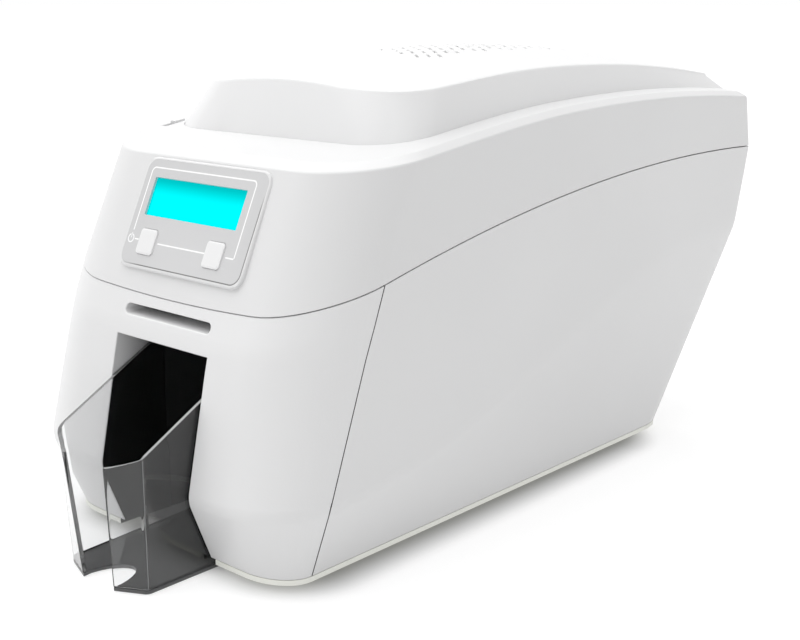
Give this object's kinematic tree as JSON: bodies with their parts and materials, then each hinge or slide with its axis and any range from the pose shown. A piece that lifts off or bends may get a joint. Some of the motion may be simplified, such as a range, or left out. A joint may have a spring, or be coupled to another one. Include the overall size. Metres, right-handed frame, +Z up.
{
  "type": "card printer",
  "caption": "Desktop card printer with a domed cover that hinges open at the back, a clear pull-out card hopper, a display panel, feed rollers, ribbon spools and a print head.",
  "frame": {"origin": "middle of the footprint of the whole printer with its hopper, on the table surface", "axes": "+X to the right seen from the front, +Y from the front to the back, +Z up"},
  "size_m": [0.205, 0.4524, 0.2445],
  "materials": {
    "bezel_plastic": "white moulded front, soft sheen",
    "case_plastic": "white moulded side and rear covers, soft sheen",
    "lid_plastic": "white moulded lid, soft sheen",
    "base_plastic": "warm off-white base edge",
    "foot_rubber": "dark rubber",
    "recess_plastic": "dark grey recess",
    "liner_plastic": "black inner chamber",
    "steel_plate": "folded plated steel",
    "bright_steel": "turned steel",
    "bronze": "sintered bronze and brass",
    "motor_case": "plated motor can",
    "circuit_board": "green circuit board",
    "standoff_metal": "turned standoffs",
    "supply_cage": "slotted metal case",
    "socket_plastic": "black socket",
    "socket_metal": "plated socket shell",
    "dark_steel": "dark coated steel",
    "ribbon_colour": "dyed ribbon",
    "ribbon_used": "used ribbon",
    "roller_rubber": "dark rubber",
    "gear_plastic": "natural moulded gears",
    "spool_plastic": "dark grey core",
    "clear_smoke": "clear smoke-tinted moulding",
    "switch_plastic": "black rocker",
    "panel_grey": "light grey printed panel face with plain white lines",
    "display_cyan": "lit cyan display window",
    "module_plastic": "display carrier",
    "head_metal": "finned head",
    "fan_black": "black fan frame",
    "fan_dark": "dark fan rotor",
    "release_plastic": "dark release button",
    "button_white": "white push buttons"
  },
  "bodies": {
    "printer_base": {"base_pan": "base_plastic", "rubber_feet": "foot_rubber", "front_bezel": "bezel_plastic", "left_side_cover": "case_plastic", "right_side_cover": "case_plastic", "rear_cover": "case_plastic", "connector_panel": "recess_plastic", "hopper_liner": "liner_plastic", "left_frame": "steel_plate", "right_frame": "steel_plate", "frame_rods": "bright_steel", "shaft_bushes": "bronze", "idler_studs": "bright_steel", "card_guide": "liner_plastic", "drive_motor": "motor_case", "main_board": "circuit_board", "board_standoffs": "standoff_metal", "power_supply": "supply_cage", "power_inlet": "socket_plastic", "switch_housing": "socket_plastic", "usb_socket": "socket_metal", "network_socket": "socket_metal", "hinge_brackets": "dark_steel", "hinge_pins": "bright_steel", "ribbon_film": "ribbon_colour"},
    "top_cover": {"cover_shell": "lid_plastic", "dome_cover": "lid_plastic", "panel_face": "panel_grey", "display_lens": "display_cyan", "display_module": "module_plastic", "panel_board": "circuit_board", "cover_frame": "steel_plate", "cover_screws": "bright_steel", "head_bracket": "steel_plate", "print_head": "head_metal", "fan_frame": "fan_black", "cover_hinge_leaves": "dark_steel"},
    "latch": {"latch_hook": "dark_steel"},
    "release": {"release_button": "release_plastic"},
    "left_key": {"left_button": "button_white"},
    "right_key": {"right_button": "button_white"},
    "fan": {"fan_rotor": "fan_dark"},
    "card_hopper": {"hopper": "clear_smoke"},
    "power_switch": {"rocker_switch": "switch_plastic"},
    "exit_roller": {"exit_shaft": "bright_steel", "exit_rubber": "roller_rubber", "exit_gear": "gear_plastic"},
    "platen_roller": {"platen_shaft": "bright_steel", "platen_rubber": "roller_rubber", "platen_gear": "gear_plastic"},
    "feed_roller": {"feed_shaft": "bright_steel", "feed_rubber": "roller_rubber", "feed_gear": "gear_plastic"},
    "front_idler": {"front_idler_gear": "gear_plastic"},
    "rear_idler": {"rear_idler_gear": "gear_plastic"},
    "pinion": {"motor_pinion": "bronze"},
    "ribbon_supply": {"supply_spool": "spool_plastic", "supply_roll": "ribbon_colour"},
    "ribbon_takeup": {"takeup_spool": "spool_plastic", "used_roll": "ribbon_used"}
  },
  "joints": [
    {"name": "cover_hinge", "type": "hinge", "parent": "printer_base", "child": "top_cover", "pos_m": [0, 0.2225, 0.1782], "axis": [-1, 0, 0], "range_deg": [0, 70]},
    {"name": "hopper_slide", "type": "slide", "parent": "printer_base", "child": "card_hopper", "axis": [0, -1, 0], "range_m": [0, 0.09]},
    {"name": "left_key_press", "type": "slide", "parent": "top_cover", "child": "left_key", "axis": [0, 0.9056, -0.4242], "range_m": [0, 0.0008], "stiffness_N_per_m": 400},
    {"name": "right_key_press", "type": "slide", "parent": "top_cover", "child": "right_key", "axis": [0, 0.9056, -0.4242], "range_m": [0, 0.0008], "stiffness_N_per_m": 400},
    {"name": "release_slide", "type": "slide", "parent": "top_cover", "child": "release", "axis": [0, -0.9909, -0.1348], "range_m": [0, 0.006], "stiffness_N_per_m": 300},
    {"name": "latch_pivot", "type": "hinge", "parent": "top_cover", "child": "latch", "pos_m": [0, -0.1305, 0.152], "axis": [1, 0, 0], "range_deg": [0, 10.25]},
    {"name": "fan_spin", "type": "hinge", "parent": "top_cover", "child": "fan", "pos_m": [0, 0.0965, 0.203], "axis": [0, 0, 1], "continuous": true},
    {"name": "power_rocker", "type": "hinge", "parent": "printer_base", "child": "power_switch", "pos_m": [-0.008, 0.1485, 0.064], "axis": [1, 0, 0], "range_deg": [-8, 8]},
    {"name": "platen_spin", "type": "hinge", "parent": "printer_base", "child": "platen_roller", "pos_m": [0, -0.0755, 0.1137], "axis": [1, 0, 0], "continuous": true},
    {"name": "exit_spin", "type": "hinge", "parent": "printer_base", "child": "exit_roller", "pos_m": [0, -0.1355, 0.1137], "axis": [1, 0, 0], "continuous": true},
    {"name": "feed_spin", "type": "hinge", "parent": "printer_base", "child": "feed_roller", "pos_m": [0, -0.0155, 0.1137], "axis": [1, 0, 0], "continuous": true},
    {"name": "front_idler_spin", "type": "hinge", "parent": "printer_base", "child": "front_idler", "pos_m": [0.0525, -0.1055, 0.1137], "axis": [1, 0, 0], "continuous": true},
    {"name": "rear_idler_spin", "type": "hinge", "parent": "printer_base", "child": "rear_idler", "pos_m": [0.0525, -0.0455, 0.1137], "axis": [1, 0, 0], "continuous": true},
    {"name": "pinion_spin", "type": "hinge", "parent": "printer_base", "child": "pinion", "pos_m": [0.0525, -0.06901, 0.09373], "axis": [1, 0, 0], "continuous": true},
    {"name": "ribbon_supply_spin", "type": "hinge", "parent": "printer_base", "child": "ribbon_supply", "pos_m": [0, -0.0235, 0.151], "axis": [1, 0, 0], "continuous": true},
    {"name": "ribbon_takeup_spin", "type": "hinge", "parent": "printer_base", "child": "ribbon_takeup", "pos_m": [0, -0.1105, 0.147], "axis": [1, 0, 0], "continuous": true}
  ],
  "couplings": [
    {"joint": "exit_spin", "follows": "platen_spin", "ratio": 1},
    {"joint": "feed_spin", "follows": "platen_spin", "ratio": 1},
    {"joint": "front_idler_spin", "follows": "platen_spin", "ratio": -1},
    {"joint": "rear_idler_spin", "follows": "platen_spin", "ratio": -1},
    {"joint": "pinion_spin", "follows": "platen_spin", "ratio": -2.5},
    {"joint": "latch_pivot", "follows": "release_slide", "rad_per_m": 29.671}
  ]
}
